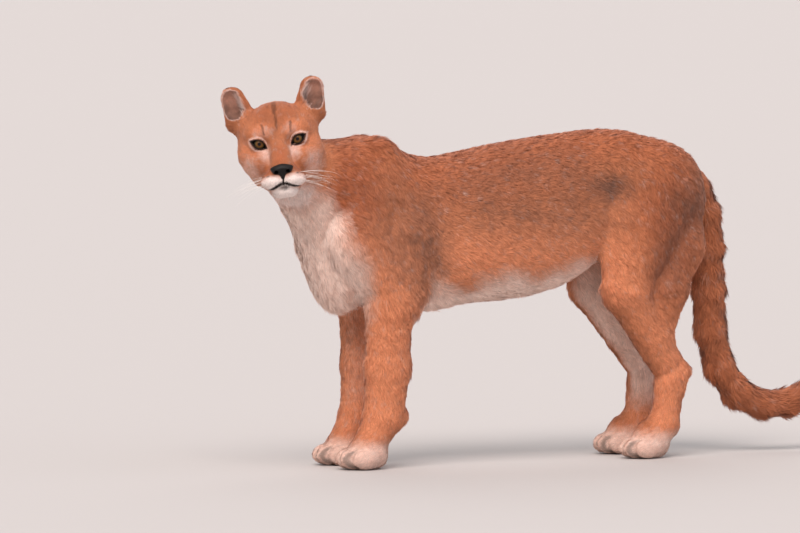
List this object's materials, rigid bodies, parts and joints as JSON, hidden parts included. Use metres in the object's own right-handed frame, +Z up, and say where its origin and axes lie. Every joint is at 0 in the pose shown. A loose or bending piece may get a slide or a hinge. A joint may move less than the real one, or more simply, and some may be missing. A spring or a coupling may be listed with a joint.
{
  "type": "cougar",
  "caption": "Life-size cougar standing on all fours, body in profile, head turned to its left, tail hanging.",
  "frame": {"origin": "on the floor, under the middle of the animal's box", "axes": "+X forward along the spine, +Y to the animal's left, +Z up"},
  "size_m": [1.3014, 0.2878, 0.7442],
  "materials": {
    "coat": "short dense orange-tan fur",
    "back": "short dense fur, tan with grey-brown mottling",
    "pale": "short cream to pale tan fur",
    "tail": "longer brown fur",
    "ear": "thin fur over skin, pale rim",
    "nose": "damp pebbled leather",
    "eye": "wet amber-brown eye"
  },
  "bodies": {
    "root": {"head": "coat", "neck": "coat", "chest": "coat", "upper_foreleg_left": "coat", "upper_foreleg_right": "coat", "forearm_left": "coat", "forearm_right": "coat", "shank_left": "coat", "shank_right": "coat", "belly": "back", "rump": "back", "thigh_left": "back", "thigh_right": "back", "lower_jaw": "pale", "forepaw_left": "pale", "forepaw_right": "pale", "hind_foot_left": "pale", "hind_foot_right": "pale", "tail_base": "tail", "tail_mid": "tail", "tail_tip": "tail", "ear_left": "ear", "ear_right": "ear", "nose": "nose", "eye_left": "eye", "eye_right": "eye"}
  },
  "joints": []
}
